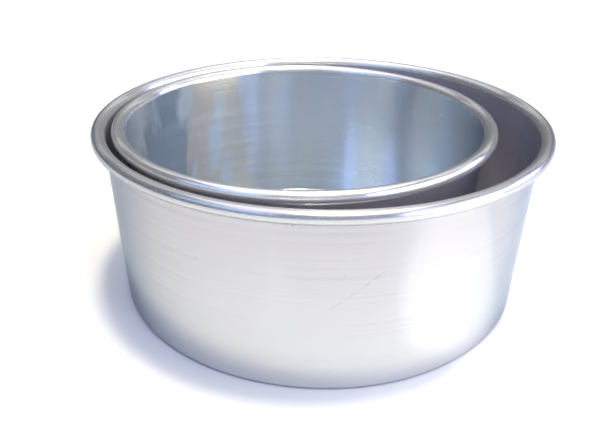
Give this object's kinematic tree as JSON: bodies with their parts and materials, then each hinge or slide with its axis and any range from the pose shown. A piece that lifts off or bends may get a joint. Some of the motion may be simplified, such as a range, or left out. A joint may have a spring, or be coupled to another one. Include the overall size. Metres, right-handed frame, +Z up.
{
  "type": "round cake tin",
  "caption": "Round cake tin of spun aluminium with a flat base, slightly tapered wall and rolled rim, holding a smaller tin of the same form that lifts out.",
  "frame": {"origin": "centre of the large tin's underside, on the surface it stands on", "axes": "+Z up along the large tin's axis; -X towards the side that the small tin is pushed to; -Y towards the viewer of the picture"},
  "size_m": [0.162, 0.162, 0.0635],
  "materials": {
    "spun_aluminium": "spun and lightly polished, fine lines round the axis"
  },
  "bodies": {
    "large": {"large_tin": "spun_aluminium"},
    "small": {"small_tin": "spun_aluminium"}
  },
  "joints": [
    {"name": "small_tin_lift", "type": "slide", "parent": "large", "child": "small", "axis": [0, 0, 1], "range_m": [0, 0.075]}
  ]
}
